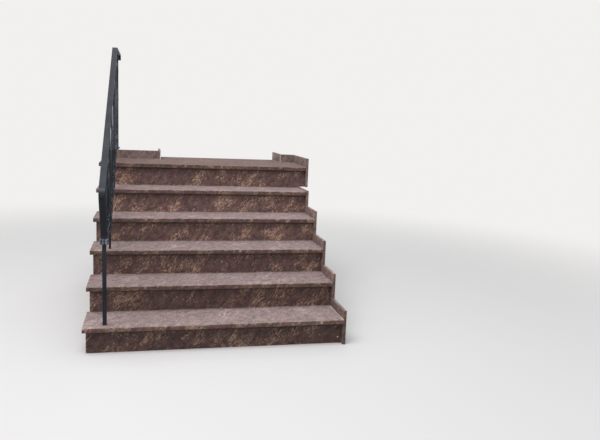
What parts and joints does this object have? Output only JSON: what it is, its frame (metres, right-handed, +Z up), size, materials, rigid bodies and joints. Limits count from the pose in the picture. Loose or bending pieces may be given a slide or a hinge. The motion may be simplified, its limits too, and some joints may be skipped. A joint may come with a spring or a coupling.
{
  "type": "natural stone staircase",
  "caption": "Straight outdoor entrance stair of natural stone slabs with landing, stepped skirting and a wrought-iron scroll railing on its left side.",
  "frame": {"origin": "on the ground under the middle of the tread length and of the whole depth; centre of the base mount", "axes": "+X to the right along the treads, +Y up the flight towards the door, +Z up"},
  "size_m": [1.799, 2.5995, 2.041],
  "materials": {
    "tread_stone": "greyish pink granite-like slabs, flamed top",
    "riser_stone": "dark mauve-brown veined stone, honed",
    "core_masonry": "plain grey concrete masonry, as cast",
    "wrought_iron": "anthracite paint on forged iron, satin"
  },
  "bodies": {
    "root": {"balusters": "wrought_iron", "end_bar": "wrought_iron", "end_scrolls": "wrought_iron", "flank_slab_back": "riser_stone", "flank_slab_front": "riser_stone", "flank_slab_middle": "riser_stone", "handrail": "wrought_iron", "handrail_end": "wrought_iron", "landing_plate": "core_masonry", "landing_slab": "tread_stone", "lower_post": "wrought_iron", "lower_rail": "wrought_iron", "middle_post": "wrought_iron", "post_collar": "wrought_iron", "riser_1": "riser_stone", "riser_2": "riser_stone", "riser_3": "riser_stone", "riser_4": "riser_stone", "riser_5": "riser_stone", "riser_6": "riser_stone", "scrolls_lower": "wrought_iron", "scrolls_middle": "wrought_iron", "scrolls_upper": "wrought_iron", "skirting_back": "riser_stone", "skirting_landing": "riser_stone", "skirting_riser_1": "riser_stone", "skirting_riser_2": "riser_stone", "skirting_riser_3": "riser_stone", "skirting_riser_4": "riser_stone", "skirting_riser_5": "riser_stone", "skirting_riser_6": "riser_stone", "skirting_threshold": "riser_stone", "skirting_tread_1": "riser_stone", "skirting_tread_2": "riser_stone", "skirting_tread_3": "riser_stone", "skirting_tread_4": "riser_stone", "stair_core": "core_masonry", "threshold_core": "core_masonry", "threshold_slab": "tread_stone", "tread_1": "tread_stone", "tread_2": "tread_stone", "tread_3": "tread_stone", "tread_4": "tread_stone", "tread_5": "tread_stone", "upper_post": "wrought_iron"}
  },
  "joints": []
}
